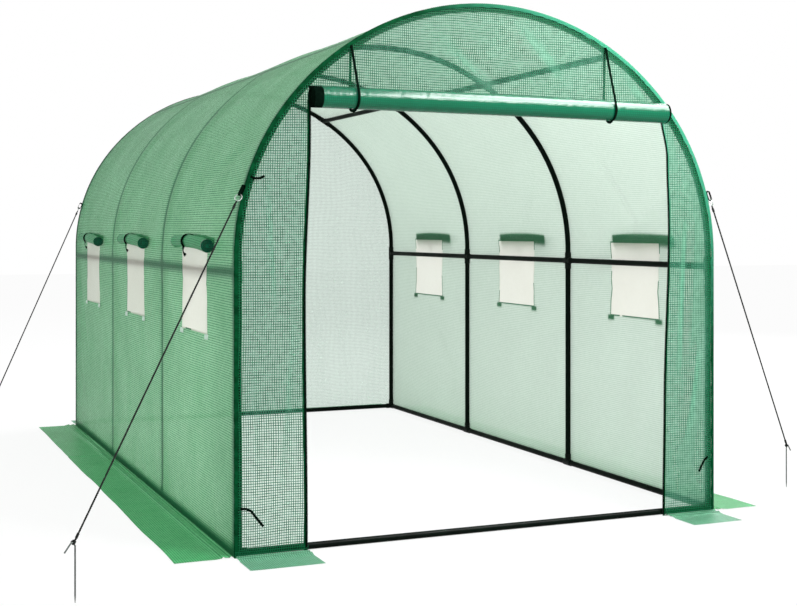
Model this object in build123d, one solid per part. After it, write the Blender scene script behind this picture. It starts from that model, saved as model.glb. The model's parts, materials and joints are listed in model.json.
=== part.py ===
from build123d import *
import os
from math import acos, asin, atan2, cos, degrees, pi, radians, sin, sqrt

# A walk-in polytunnel greenhouse: four tube hoops in plug-in fittings, under a cover of mesh film.
# Millimetres. X is to the right as seen from the doorway, Y to the back, Z up.
# The origin is on the ground, under the middle of the tunnel.

# Tube frame, overall sizes taken over the tubes
tunnel_width = 2000
tunnel_height = 2000
tunnel_length = 3500
bay_count = 3
tube_diameter = 25
shoulder_radius = 900  # centre line of the bend between a leg and the flatter crown
shoulder_angle = 40  # degrees that the shoulder turns through
rail_height = 1000  # centre line of the side rails
purlin_reach = 530  # from the middle plane out to each roof purlin

# Plug-in fittings that join the tubes
socket_wall = 2.5
branch_wall = 2  # of an arm that leaves the side of a fitting
socket_clearance = 0.15
socket_stop = 15  # from a fitting's centre to the end of each tube in it
hoop_arm = 40  # from a fitting's centre to the mouth of an arm along the hoop
rail_arm = 32  # the same for an arm along a rail
elbow_heel = 12  # how far an arm runs on past the centre of a corner fitting
cut_overrun = 5

# Film cover
film_thickness = 2
seat_gap = 0.3  # between the film and the frame, and between other soft and hard pieces
side_flap_width = 220  # skirt that lies on the ground along a side
end_flap_width = 200  # skirt that lies on the ground at an end

# Doorway in the front, with its flap rolled up above it
gable_drop = 385  # from the top of the hoops down to the head of the doorway
left_jamb_width = 265  # from the outside of the hoop in to the doorway
right_jamb_width = 225
door_roll_diameter = 84
door_roll_pitch = 8
door_roll_turns = 4
door_roll_lap = 45  # of the flap's top edge, sewn flat to the gable
door_roll_rise = 5  # from the head of the doorway up to the middle of the roll
door_roll_inset = 28  # from the right edge of the doorway in to the end of the roll
door_tape_width = 18
door_tape_thickness = 1.5
door_tape_stop = 20  # from the middle of the roll down to the top of each tape
door_strap_width = 10
door_strap_thickness = 1.5
door_strap_drop = 48  # from a purlin's centre line down to the seam of a strap

# Windows in the sides, one in the middle of each bay
window_width = 400
window_sill = 760
window_head = 1090
net_thickness = 1
net_lap = 15  # of the net behind the film, all round
window_roll_length = 550
window_roll_diameter = 54
window_roll_pitch = 6
window_roll_turns = 3
window_roll_lap = 30
window_roll_rise = 10  # from the head of a window up to the middle of its roll
window_roll_shift = 40  # of a roll along the wall to the front, from the middle of its window
window_strap_width = 10
window_strap_thickness = 1.5
window_strap_rise = 58  # from the middle of a roll up to the seam of its strap
eave_rise = 110  # from the head of the windows up to the seam between wall and roof

# Guy ropes from the end hoops to pegs
anchor_drop = 700  # from the top of the hoops down to the rope's loop
rope_diameter = 5
loop_length = 45  # of the sewn webbing loop, over all
loop_depth = 16
loop_webbing_width = 10
loop_webbing_thickness = 2
ring_diameter = 26  # to the middle of the ring's wire
ring_wire_diameter = 4
ring_wire_sides = 8
peg_diameter = 5
peg_height = 190  # of the bent wire's middle line, at the corner of its crook
peg_neck_rise = 14  # the neck slants from the shank up to the crook, and the rope is tied round it
peg_neck_reach = 12
peg_tail_drop = 30  # the tail slants down and away from the crook
peg_tail_reach = 28
peg_bend_radius = 7
peg_point_length = 22
peg_point_diameter = 2
peg_reach = 1610  # from the middle plane out to the middle of each peg's neck
front_left_peg_lead = -370  # along Y, from the end hoop to the same place
front_right_peg_lead = 280
back_left_peg_lead = -960
back_right_peg_lead = 370

# Sizes that follow from those above
tube_radius = tube_diameter / 2
bore_radius = tube_radius + socket_clearance
fitting_radius = bore_radius + socket_wall
branch_radius = bore_radius + branch_wall
ground_line = fitting_radius  # height of the base tubes' centre lines
half_span = tunnel_width / 2 - tube_radius
half_run = tunnel_length / 2 - tube_radius
hoop_places = [half_run * (2 * k / bay_count - 1) for k in range(bay_count + 1)]
bay_middles = [(a + b) / 2 for a, b in zip(hoop_places, hoop_places[1:])]
shoulder_turn = radians(shoulder_angle)
crown_height = tunnel_height - tube_radius
crown_radius = (half_span - shoulder_radius * (1 - cos(shoulder_turn))) / cos(shoulder_turn)
crown_centre = crown_height - crown_radius
spring_height = crown_centre + (crown_radius - shoulder_radius) * sin(shoulder_turn)
purlin_turn = acos(purlin_reach / crown_radius)
purlin_height = crown_centre + crown_radius * sin(purlin_turn)
film_inside = fitting_radius + seat_gap  # from the tubes' centre lines to the film
film_outside = film_inside + film_thickness
end_face = half_run + film_inside  # inner face of each end panel, along Y
door_left = left_jamb_width - tunnel_width / 2
door_right = tunnel_width / 2 - right_jamb_width
door_head = tunnel_height - gable_drop
door_roll_height = door_head + door_roll_rise
door_strap_rise = purlin_height - door_strap_drop - door_roll_height
window_roll_height = window_head + window_roll_rise
window_roll_places = [middle - window_roll_shift for middle in bay_middles]
eave_height = window_head + eave_rise
anchor_height = tunnel_height - anchor_drop
up = Vector(0, 0, 1)


# Arch that runs at an offset outside the hoops' centre line, from the right foot over to the left
def arch_edges(offset, foot):
    bend = half_span - shoulder_radius
    side = half_span + offset
    rest = 180 - shoulder_angle
    return [
        Line((side, foot), (side, spring_height)),
        CenterArc((bend, spring_height), shoulder_radius + offset, 0, shoulder_angle),
        CenterArc((0, crown_centre), crown_radius + offset, shoulder_angle, rest - shoulder_angle),
        CenterArc((-bend, spring_height), shoulder_radius + offset, rest, shoulder_angle),
        Line((-side, spring_height), (-side, foot)),
    ]


def arch_face(offset, foot):
    edges = arch_edges(offset, foot)
    return make_face(edges + [Line(edges[-1] @ 1, edges[0] @ 0)])


# Upright plane across the tunnel, with its own x along X and its own y up
def cross_plane(place):
    return Plane(origin=(0, place, 0), x_dir=(1, 0, 0), z_dir=(0, -1, 0))


def along_tunnel(outline, start, end):
    return extrude(cross_plane(start) * outline, amount=end - start, dir=(0, 1, 0))


# Upright plane at a wall, with its own x pointing away from that wall and its own y up
def wall_plane(origin, outward):
    return Plane(origin=origin, x_dir=outward, z_dir=Vector(outward).cross(up))


hoop_line = Wire(arch_edges(0, ground_line))
hoop_length = hoop_line.length


# Length along a hoop from its right foot up to a height on the leg or shoulder
def station_at(height):
    if height <= spring_height:
        return height - ground_line
    bent = asin((height - spring_height) / shoulder_radius)
    return spring_height - ground_line + shoulder_radius * bent


# Place on the film's outside beside a height on the hoop's shoulder, and its lean from upright
def film_point(height):
    lean = asin(max(0, height - spring_height) / shoulder_radius)
    reach = half_span - shoulder_radius * (1 - cos(lean)) + film_outside * cos(lean)
    return reach, height + film_outside * sin(lean), lean


rail_station = station_at(rail_height)
rail_reach = hoop_line.position_at(rail_station / hoop_length).X
leg_length = spring_height - ground_line
purlin_station = (
    leg_length + shoulder_radius * shoulder_turn + crown_radius * (purlin_turn - shoulder_turn)
)


def hoop_stretch(place, start, end):
    low, high = sorted((start, end))
    return cross_plane(place) * hoop_line.trim(low / hoop_length, high / hoop_length)


def rod(path, radius):
    return sweep(Plane(origin=path @ 0, z_dir=path % 0) * Circle(radius), path=path)


# Tubes of one hoop: two legs, two side bows and the crown, each ending inside a fitting
def hoop_tubes(place):
    joints = [0, rail_station, purlin_station]
    joints += [hoop_length - s for s in reversed(joints)]
    pairs = zip(joints, joints[1:])
    return [rod(hoop_stretch(place, a + socket_stop, b - socket_stop), tube_radius) for a, b in pairs]


# Straight tubes between neighbouring hoops, at one place on the hoop
def lengthwise_tubes(reach, height):
    tubes = []
    for near, far in zip(hoop_places, hoop_places[1:]):
        line = Line((reach, near + socket_stop, height), (reach, far - socket_stop, height))
        tubes.append(rod(line, tube_radius))
    return tubes


# Straight tube across the tunnel, on the ground between two corner fittings
def crosswise_tube(place):
    reach = half_span - socket_stop
    return rod(Line((-reach, place, ground_line), (reach, place, ground_line)), tube_radius)


# Fitting with a socket for each tube that plugs in: ways along the hoop, then ways along X or Y
def fitting(place, station, hoop_ways, hoop_radius, straight_ways, straight_radius, heel=0):
    centre = (cross_plane(place) * hoop_line).position_at(station / hoop_length)
    low, high = min(0, *hoop_ways), max(0, *hoop_ways)
    through = hoop_stretch(place, station + low * hoop_arm, station + high * hoop_arm)
    body, bores = [rod(through, hoop_radius)], []
    for way in hoop_ways:
        stop, past = station + way * socket_stop, station + way * (hoop_arm + cut_overrun)
        bores.append(rod(hoop_stretch(place, stop, past), bore_radius))
    for way in straight_ways:
        body.append(rod(Line(centre - way * heel, centre + way * rail_arm), straight_radius))
        start, past = centre + way * socket_stop, centre + way * (rail_arm + cut_overrun)
        bores.append(rod(Line(start, past), bore_radius))
    return Part() + body - bores


# Ways in from an end hoop, or both ways along Y from an inner hoop
def ways_along(place):
    if place == hoop_places[0]:
        return [Vector(0, 1, 0)]
    if place == hoop_places[-1]:
        return [Vector(0, -1, 0)]
    return [Vector(0, 1, 0), Vector(0, -1, 0)]


end_places = [hoop_places[0], hoop_places[-1]]
inner_places = hoop_places[1:-1]


# Both sides of the hoops at a station, right side first, with the way that climbs the hoop there
def both_sides(station):
    return [(station, 1), (hoop_length - station, -1)]


def corner_fittings():
    made = []
    for place in end_places:
        for station, climb in both_sides(0):
            ways = ways_along(place) + [Vector(-climb, 0, 0)]
            made.append(fitting(place, station, [climb], branch_radius, ways, fitting_radius, elbow_heel))
    return made


def foot_fittings():
    return [
        fitting(place, station, [climb], branch_radius, ways_along(place), fitting_radius)
        for place in inner_places
        for station, climb in both_sides(0)
    ]


def hoop_fittings(places, station):
    return [
        fitting(place, there, [1, -1], fitting_radius, ways_along(place), branch_radius)
        for place in places
        for there, _ in both_sides(station)
    ]


def box_between(low, high):
    size = Vector(high) - Vector(low)
    return Pos(*low) * Box(*size, align=Align.MIN)


def region_between(left, right, low, high):
    return Pos((left + right) / 2, (low + high) / 2) * Rectangle(right - left, high - low)


def arch_band(inside, outside):
    return arch_face(outside, film_thickness) - arch_face(inside, film_thickness)


# Part of an arch band on one side of the tunnel, between two heights
def side_band(side, inside, outside, low, high):
    left, right = sorted((0, side * (half_span + outside)))
    return arch_band(inside, outside) & region_between(left, right, low, high)


# Side of the cover, with a window cut out in each bay
def wall_cover(side):
    outline = side_band(side, film_inside, film_outside, film_thickness, eave_height)
    wall = along_tunnel(outline, -end_face, end_face)
    reach = half_span + film_outside
    for middle in bay_middles:
        near, far = sorted((side * tube_radius, side * (reach + cut_overrun)))
        half = window_width / 2
        wall -= box_between((near, middle - half, window_sill), (far, middle + half, window_head))
    return wall


# Net behind a window, lapped under the film all round
def window_net(side, middle):
    low, high = window_sill - net_lap, window_head + net_lap
    outline = side_band(side, film_inside - net_thickness, film_inside, low, high)
    half = window_width / 2 + net_lap
    return along_tunnel(outline, middle - half, middle + half)


# Curved roof in three strips, parted over the purlins and sewn to the walls at the eaves
def roof_strips():
    reach = tunnel_width + tunnel_height
    walls = region_between(-reach, reach, 0, eave_height)
    rise = crown_centre + reach * sin(purlin_turn)
    spread = reach * cos(purlin_turn)
    over = Polygon((0, crown_centre), (spread, rise), (-spread, rise), align=None)
    roof = arch_band(film_inside, film_outside) - walls
    sides = (roof - over).faces().sort_by(Axis.X)
    strips = [sides[0], roof & over, sides[-1]]
    return [along_tunnel(strip, -end_face, end_face) for strip in strips]


# End panel, whole or cut to a part of its outline
def end_panel(end, region=None):
    outline = arch_face(film_outside, film_thickness)
    if region is not None:
        outline = outline & region
    near, far = sorted((end * end_face, end * (end_face + film_thickness)))
    return along_tunnel(outline, near, far)


# Ground skirts: each starts under the film that it is sewn to
def side_flap(side):
    near = half_span + film_inside
    far = near + side_flap_width
    reach = end_face + film_thickness
    left, right = sorted((side * near, side * far))
    return box_between((left, -reach, 0), (right, reach, film_thickness))


def end_flap(end, left, right):
    near, far = sorted((end * end_face, end * (end_face + film_thickness + end_flap_width)))
    return box_between((left, near, 0), (right, far, film_thickness))


# Flap wound up into a roll of half circles, each tighter than the one before.
# Its top edge stands flat on the wall at x = 0, and the roll's middle is at y = 0.
def rolled_flap(plane, diameter, pitch, turns, lap, length):
    step = pitch / 2
    half = film_thickness / 2
    radius, start, way = diameter / 2 - half, half, 1
    outer, inner = [], []
    for _ in range(2 * turns):
        middle = start + way * radius
        for arcs, reach in ((outer, radius + half), (inner, radius - half)):
            ends = (middle - way * reach, 0), (middle + way * reach, 0)
            arcs.append(ThreePointArc(ends[0], (middle, -way * reach), ends[1]))
        start, way, radius = middle + way * radius, -way, radius - step
    lap_ends = [(0, lap), (film_thickness, lap)]
    edges = outer + inner + [
        Line(lap_ends[0], lap_ends[1]),
        Line(lap_ends[0], outer[0] @ 0),
        Line(lap_ends[1], inner[0] @ 0),
        Line(outer[-1] @ 1, inner[-1] @ 1),
    ]
    return extrude(plane * make_face(edges), amount=length / 2, both=True)


# Strap from a seam on the wall, over the front of a roll and round under it.
# With a back strand it climbs again to the seam's height behind the film.
def roll_strap(plane, diameter, head, width, thickness, back_strand):
    half = thickness / 2
    roll_radius = diameter / 2
    front = roll_radius + seat_gap + half
    back = film_thickness + seat_gap + half if back_strand else 0
    radius = (roll_radius + front + back) / 2 if back_strand else front
    middle = roll_radius + front - radius
    seam = Vector(half, head)
    lean = atan2(seam.Y, seam.X - middle)
    leave = lean - acos(radius / Vector(seam.X - middle, seam.Y).length)
    end = -pi if back_strand else -pi / 2
    path = [Line(seam, Vector(middle + radius * cos(leave), radius * sin(leave)))]
    path.append(CenterArc((middle, 0), radius, degrees(leave), degrees(end - leave)))
    if back_strand:
        path.append(Line(path[-1] @ 1, (path[-1] @ 1) + Vector(0, head)))
    line = plane * Wire(path)
    across = Plane(origin=line @ 0, x_dir=plane.z_dir, z_dir=line % 0)
    return sweep(across * Rectangle(width, thickness), path=line)


def door_plane(reach):
    return wall_plane((reach, -end_face - film_thickness, door_roll_height), (0, -1, 0))


# Lies on the outside of the film where it meets the lap of a rolled window flap
def window_plane(side, place):
    seam = window_roll_height + window_roll_lap / 2
    reach, height, lean = film_point(seam)
    outward = Vector(side * cos(lean), 0, sin(lean))
    climb = Vector(-side * sin(lean), 0, cos(lean))
    return wall_plane(Vector(side * reach, place, height) - climb * window_roll_lap / 2, outward)


# Tape along one upright edge of the doorway, on the panel beside it
def door_tape(edge, beside):
    face = -end_face - film_thickness
    left, right = sorted((edge, edge + beside * door_tape_width))
    top = door_roll_height - door_tape_stop
    return box_between((left, face - door_tape_thickness, film_thickness), (right, face, top))


def wire_ring(radius, wire_radius):
    section = Plane.XZ * Pos(radius, 0) * RegularPolygon(wire_radius, ring_wire_sides)
    return revolve(section, Axis.Z)


# One guy rope with its loop of webbing, its ring and its peg
def guy(side, end, lead):
    reach, height, lean = film_point(anchor_height)
    corner = Vector(side * reach, end * (end_face + film_thickness), height)
    tie = Vector(side * peg_reach, end * half_run + lead, peg_height - peg_neck_rise / 2)
    aim = (tie - corner).normalized()
    faces = Vector(side * cos(lean), 0, sin(lean)), Vector(0, end, 0)
    away = sum((face * max(0, aim.dot(face)) for face in faces), Vector()).normalized()
    bow = loop_depth / 2
    root = corner + away * (seat_gap + bow * (1 - aim.dot(away)))
    aim = (tie - root).normalized()
    flat = Plane(origin=root, x_dir=aim, z_dir=aim.cross(away))
    hole = loop_length - 2 * loop_webbing_thickness, loop_depth - 2 * loop_webbing_thickness
    link = Pos(loop_length / 2, 0) * (SlotOverall(loop_length, loop_depth) - SlotOverall(*hole))
    loop = extrude(flat * link, amount=loop_webbing_width / 2, both=True)
    ring_radius, wire_radius = ring_diameter / 2, ring_wire_diameter / 2
    inner_radius = ring_radius - wire_radius
    curl = inner_radius - sqrt(inner_radius**2 - (loop_webbing_width / 2) ** 2)
    hang = loop_length - loop_webbing_thickness - seat_gap - curl - wire_radius + ring_radius
    hung = Plane(origin=root + aim * hang, x_dir=aim, z_dir=flat.y_dir)
    ring = hung * wire_ring(ring_radius, wire_radius)
    start = root + aim * (hang + ring_radius + wire_radius + seat_gap)
    outward = Vector(aim.X, aim.Y, 0).normalized()
    neck = (outward * peg_neck_reach + up * peg_neck_rise).normalized()
    clear = peg_diameter / 2 + seat_gap + rope_diameter / 2 * abs(aim.dot(neck))
    rope = rod(Line(start, tie - aim * (clear / aim.cross(neck).length)), rope_diameter / 2)
    return rope, loop, ring, peg(tie, outward)


# Hooked peg, its point on the ground and its hook turned away from the rope
def peg(tie, outward):
    foot = Vector(tie.X, tie.Y, 0) - outward * peg_neck_reach / 2
    face = Plane(origin=foot, x_dir=outward, z_dir=outward.cross(up))
    wire = FilletPolyline(
        (0, peg_point_length),
        (0, peg_height - peg_neck_rise),
        (peg_neck_reach, peg_height),
        (peg_neck_reach + peg_tail_reach, peg_height - peg_tail_drop),
        radius=peg_bend_radius,
    )
    bent = rod(face * wire, peg_diameter / 2)
    seat = (Align.CENTER, Align.CENTER, Align.MIN)
    point = Cone(peg_point_diameter / 2, peg_diameter / 2, peg_point_length, align=seat)
    return bent + Pos(*foot) * point


nodes = {}
hoop_names = ["front_hoop", "second_hoop", "third_hoop", "back_hoop"]
for name, place in zip(hoop_names, hoop_places):
    nodes[name] = hoop_tubes(place)
for name, side in (("left", -1), ("right", 1)):
    nodes[f"{name}_base_rails"] = lengthwise_tubes(side * half_span, ground_line)
    nodes[f"{name}_side_rails"] = lengthwise_tubes(side * rail_reach, rail_height)
    nodes[f"{name}_purlins"] = lengthwise_tubes(side * purlin_reach, purlin_height)
nodes["front_base_bar"] = [crosswise_tube(hoop_places[0])]
nodes["back_base_bar"] = [crosswise_tube(hoop_places[-1])]

nodes["base_corner_fittings"] = corner_fittings()
nodes["base_tee_fittings"] = foot_fittings()
nodes["rail_tee_fittings"] = hoop_fittings(end_places, rail_station)
nodes["rail_cross_fittings"] = hoop_fittings(inner_places, rail_station)
nodes["purlin_tee_fittings"] = hoop_fittings(end_places, purlin_station)
nodes["purlin_cross_fittings"] = hoop_fittings(inner_places, purlin_station)

nodes["left_wall_cover"] = [wall_cover(-1)]
nodes["right_wall_cover"] = [wall_cover(1)]
for name, strip in zip(("left_shoulder_cover", "crown_cover", "right_shoulder_cover"), roof_strips()):
    nodes[name] = [strip]
cover_side = half_span + film_outside
cover_top = tunnel_height + film_outside
nodes["front_left_panel"] = [end_panel(-1, region_between(-cover_side, door_left, 0, door_head))]
nodes["front_right_panel"] = [end_panel(-1, region_between(door_right, cover_side, 0, door_head))]
nodes["front_gable_panel"] = [end_panel(-1, region_between(-cover_side, cover_side, door_head, cover_top))]
nodes["back_panel"] = [end_panel(1)]
nodes["left_ground_flap"] = [side_flap(-1)]
nodes["right_ground_flap"] = [side_flap(1)]
flap_side = half_span + film_inside
nodes["front_ground_flaps"] = [end_flap(-1, -flap_side, door_left), end_flap(-1, door_right, flap_side)]
nodes["back_ground_flap"] = [end_flap(1, -flap_side, flap_side)]

for name, side in (("left", -1), ("right", 1)):
    nodes[f"{name}_window_nets"] = [window_net(side, middle) for middle in bay_middles]
    nodes[f"{name}_window_rolls"] = [
        rolled_flap(
            window_plane(side, place),
            window_roll_diameter,
            window_roll_pitch,
            window_roll_turns,
            window_roll_lap,
            window_roll_length,
        )
        for place in window_roll_places
    ]
    nodes[f"{name}_window_straps"] = [
        roll_strap(
            window_plane(side, place),
            window_roll_diameter,
            window_strap_rise,
            window_strap_width,
            window_strap_thickness,
            False,
        )
        for place in window_roll_places
    ]

door_roll_end = door_right - door_roll_inset
nodes["door_roll"] = [
    rolled_flap(
        door_plane((door_left + door_roll_end) / 2),
        door_roll_diameter,
        door_roll_pitch,
        door_roll_turns,
        door_roll_lap,
        door_roll_end - door_left,
    )
]
nodes["door_roll_straps"] = [
    roll_strap(
        door_plane(reach),
        door_roll_diameter,
        door_strap_rise,
        door_strap_width,
        door_strap_thickness,
        True,
    )
    for reach in (-purlin_reach, purlin_reach)
]
nodes["door_edge_tapes"] = [door_tape(door_left, -1), door_tape(door_right, 1)]

guys = [
    guy(-1, -1, front_left_peg_lead),
    guy(1, -1, front_right_peg_lead),
    guy(-1, 1, back_left_peg_lead),
    guy(1, 1, back_right_peg_lead),
]
for name, pieces in zip(("guy_ropes", "guy_loops", "guy_rings", "ground_pegs"), zip(*guys)):
    nodes[name] = list(pieces)

os.makedirs("parts", exist_ok=True)
for name, pieces in nodes.items():
    solids = [solid for piece in pieces for solid in piece.solids()]
    export_step(solids[0] if len(solids) == 1 else Compound(children=solids), f"parts/{name}.step")
    print(name, len(solids))
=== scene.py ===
import json
import math
import bpy
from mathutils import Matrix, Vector, noise


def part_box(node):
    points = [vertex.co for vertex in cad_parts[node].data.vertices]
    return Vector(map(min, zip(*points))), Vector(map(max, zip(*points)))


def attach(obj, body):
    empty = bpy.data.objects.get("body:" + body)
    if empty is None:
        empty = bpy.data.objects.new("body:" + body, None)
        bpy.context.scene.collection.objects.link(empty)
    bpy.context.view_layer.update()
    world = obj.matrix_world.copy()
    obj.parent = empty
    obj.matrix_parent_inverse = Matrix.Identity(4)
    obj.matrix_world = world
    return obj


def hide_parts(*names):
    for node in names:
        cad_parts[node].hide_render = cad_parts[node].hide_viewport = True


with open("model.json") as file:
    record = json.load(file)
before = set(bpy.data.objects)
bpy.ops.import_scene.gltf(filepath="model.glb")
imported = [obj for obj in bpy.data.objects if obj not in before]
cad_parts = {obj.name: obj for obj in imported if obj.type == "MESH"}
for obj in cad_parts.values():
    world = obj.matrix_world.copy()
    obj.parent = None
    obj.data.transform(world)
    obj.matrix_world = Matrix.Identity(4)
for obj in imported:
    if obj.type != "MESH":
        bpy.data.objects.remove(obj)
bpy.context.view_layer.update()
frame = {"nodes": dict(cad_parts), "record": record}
print("frame loaded with", len(frame["nodes"]), "nodes")

mm = 0.001


# sRGB hex to the linear colour that Blender's sockets take
def toLinear(hexColour):
    channels = [int(hexColour[k:k + 2], 16) / 255 for k in (1, 3, 5)]
    return [c / 12.92 if c <= 0.04045 else ((c + 0.055) / 1.055) ** 2.4 for c in channels] + [1]


# Adds one node: plain settings by name, and for each input a value or the socket that feeds it
def addNode(tree, kind, inputs=None, **settings):
    made = tree.nodes.new(kind)
    for name, value in settings.items():
        setattr(made, name, value)
    for key, value in (inputs or {}).items():
        if isinstance(value, bpy.types.NodeSocket):
            tree.links.new(value, made.inputs[key])
        else:
            made.inputs[key].default_value = value
    return made


def newMaterial(name):
    material = bpy.data.materials.new(name)
    material.use_nodes = True
    material.node_tree.nodes.clear()
    return material, material.node_tree


# Woven grid of flat threads from the sheet's own UV, which is in metres: 1 on a thread, 0 in the open
def threadGrid(tree, look):
    place = addNode(tree, "ShaderNodeUVMap", uv_map="UVMap").outputs[0]
    axes = addNode(tree, "ShaderNodeSeparateXYZ", {0: place})
    half = look["threadWidth"] / 2 * mm
    blur = look["threadBlur"] / 2 * mm
    masks = []
    for axis, pitch in enumerate(look["threadPitch"]):
        away = addNode(tree, "ShaderNodeMath", {
            0: axes.outputs[axis], 1: pitch / 2 * mm}, operation="PINGPONG")
        mask = addNode(tree, "ShaderNodeMapRange", {
            "Value": away.outputs[0], "From Min": half - blur, "From Max": half + blur, "To Min": 1,
            "To Max": 0}, interpolation_type="SMOOTHSTEP")
        masks.append(mask.outputs[0])
    both = addNode(tree, "ShaderNodeMath", {0: masks[0], 1: masks[1]}, operation="MAXIMUM")
    return place, both.outputs[0]


# Sheet laminated round a woven grid of tape threads: see-through face on and closed at a slant, with a soft
# waxy shine and cloudy patches. The threads lie on the outer face. The inner face is painted paler and its
# threads fainter: painted light, a painted glow of the bright light from outside.
# It is painted darker where a tube or a roll lies close behind it: painted shade, found by ambient occlusion.
def wovenFilm(name, look):
    material, tree = newMaterial(name)
    place, grid = threadGrid(tree, look)
    # painted light: seen from inside, the film is painted paler and milkier and its threads fainter, a
    # painted glow
    inner = addNode(tree, "ShaderNodeNewGeometry").outputs["Backfacing"]
    paintedGlowThreadShare = addNode(tree, "ShaderNodeMapRange", {"Value": inner, "To Min": 1, "To Max": look["innerGrid"]})
    paintedGlowMilk = addNode(tree, "ShaderNodeMapRange", {"Value": inner, "To Max": look["paintedGlowMilkShare"]})
    # threads, worn thinner in places
    worn = addNode(tree, "ShaderNodeTexNoise", {
        "Vector": place, "Scale": 1 / (look["fadeSize"] * mm), "Detail": 2})
    fade = addNode(tree, "ShaderNodeMapRange", {
        "Value": worn.outputs["Fac"], "From Min": look["fadeBand"][0], "From Max": look["fadeBand"][1],
        "To Min": look["fadeShare"], "To Max": 1})
    kept = addNode(tree, "ShaderNodeMath", {0: grid, 1: fade.outputs[0]}, operation="MULTIPLY")
    shown = addNode(tree, "ShaderNodeMath", {0: kept.outputs[0], 1: paintedGlowThreadShare.outputs[0]}, operation="MULTIPLY")
    threads = shown.outputs[0]
    # cloudy patches, and painted shade where something lies close behind
    cloud = addNode(tree, "ShaderNodeTexNoise", {
        "Vector": place, "Scale": 1 / (look["cloudSize"] * mm), "Detail": 3, "Roughness": 0.55})
    patches = addNode(tree, "ShaderNodeMapRange", {
        "Value": cloud.outputs["Fac"], "From Min": look["cloudBand"][0], "From Max": look["cloudBand"][1]})
    behind = addNode(tree, "ShaderNodeAmbientOcclusion", {"Distance": look["paintedShadeReach"] * mm}, inside=True,
                     samples=4)
    paintedShadeMask = addNode(tree, "ShaderNodeMapRange", {
        "Value": behind.outputs["AO"], "From Min": look["paintedShadeBand"][0], "From Max": look["paintedShadeBand"][1],
        "To Max": look["paintedShadeShare"]})
    # each tone is laid over the ones before it
    colours = {}
    for part in ("body", "glow"):
        film, cloudy, thread = [toLinear(tone) for tone in look[part]]
        tone = film
        for share, over in ((patches.outputs[0], cloudy), (paintedGlowMilk.outputs[0], toLinear(look["paintedGlowMilk"])),
                            (threads, thread), (paintedShadeMask.outputs[0], toLinear(look["paintedShadeTone"]))):
            tone = addNode(tree, "ShaderNodeMix", {0: share, 6: tone, 7: over}, data_type="RGBA").outputs[2]
        colours[part] = tone
    # crinkles, with the raised threads on top of them
    crinkle = addNode(tree, "ShaderNodeTexNoise", {
        "Vector": place, "Scale": 1 / (look["crinkleSize"] * mm), "Detail": 2})
    crinkled = addNode(tree, "ShaderNodeBump", {
        "Height": crinkle.outputs["Fac"], "Strength": look["crinkle"], "Distance": look["crinkleDepth"] * mm})
    raised = addNode(tree, "ShaderNodeBump", {
        "Height": grid, "Strength": look["threadBump"], "Distance": look["threadDepth"] * mm,
        "Normal": crinkled.outputs[0]}).outputs[0]
    body = addNode(tree, "ShaderNodeBsdfPrincipled", {
        "Base Color": colours["body"], "IOR": 1.5, "Roughness": look["roughness"],
        "Specular IOR Level": look["shine"], "Normal": raised})
    glow = addNode(tree, "ShaderNodeBsdfTranslucent", {"Color": colours["glow"], "Normal": raised})
    laminate = addNode(tree, "ShaderNodeMixShader", {
        0: look["glowShare"], 1: body.outputs[0], 2: glow.outputs[0]})
    # the open film between the threads
    clear = addNode(tree, "ShaderNodeBsdfTransparent", {"Color": toLinear(look["tint"])})
    slant = addNode(tree, "ShaderNodeLayerWeight", {"Blend": 0.5})
    faceOn = addNode(tree, "ShaderNodeMapRange", {
        "Value": slant.outputs["Facing"], "From Min": look["slantBand"][0], "From Max": look["slantBand"][1],
        "To Min": 1, "To Max": look["slantClear"]})
    gaps = addNode(tree, "ShaderNodeMapRange", {
        "Value": threads, "To Min": look["clearShare"], "To Max": look["threadClear"]})
    seeThrough = addNode(tree, "ShaderNodeMath", {
        0: faceOn.outputs[0], 1: gaps.outputs[0]}, operation="MULTIPLY")
    sheet = addNode(tree, "ShaderNodeMixShader", {
        0: seeThrough.outputs[0], 1: laminate.outputs[0], 2: clear.outputs[0]})
    addNode(tree, "ShaderNodeOutputMaterial", {"Surface": sheet.outputs[0]})
    return material


# Stretches of the noise over which a solid's tone and its roughness change
toneBand, roughBand = (0.35, 0.65), (0.3, 0.7)


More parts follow.
